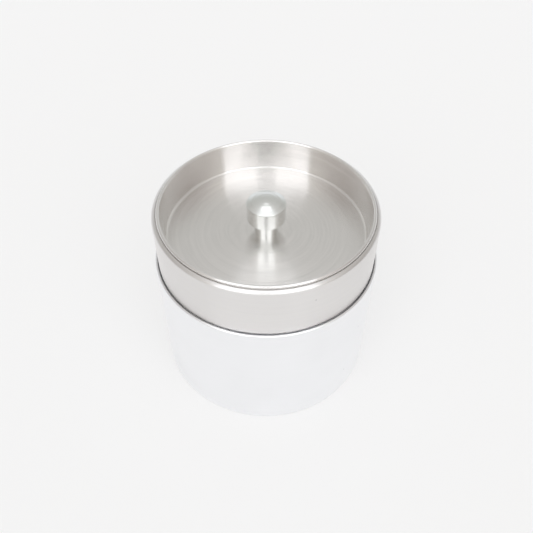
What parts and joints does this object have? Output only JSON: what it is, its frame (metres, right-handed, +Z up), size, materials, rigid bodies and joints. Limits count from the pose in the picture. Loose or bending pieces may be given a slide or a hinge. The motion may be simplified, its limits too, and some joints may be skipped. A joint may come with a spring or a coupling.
{
  "type": "candle tin",
  "caption": "Round brushed steel candle tin with a stepped neck and a slip-over lid, which has a recessed pan, a crimped rim and a turned knob.",
  "frame": {"origin": "on the table, at the centre of the flat ring that the tin stands on", "axes": "+Z up along the axis of the tin and its lid; X and Y are free, because every piece but the screw's cross recess is a solid of revolution about Z"},
  "size_m": [0.086, 0.086, 0.0797],
  "materials": {
    "tin_steel": "fine brushed",
    "lid_steel": "fine circular brushing",
    "knob_metal": "lathe-turned satin",
    "silicone": "translucent white silicone",
    "zinc_plate": "bright zinc plate"
  },
  "bodies": {
    "tin": {"tin_body": "tin_steel"},
    "seal": {"seal_ring": "silicone"},
    "lid": {"lid_band": "lid_steel", "lid_pan": "lid_steel", "knob": "knob_metal", "knob_washer": "zinc_plate", "knob_screw": "zinc_plate"}
  },
  "joints": [
    {"name": "lid_lift", "type": "slide", "parent": "tin", "child": "seal", "axis": [0, 0, 1], "range_m": [0, 0.04]},
    {"name": "lid_turn", "type": "hinge", "parent": "seal", "child": "lid", "pos_m": [0, 0, 0.0733], "axis": [0, 0, 1], "continuous": true}
  ]
}
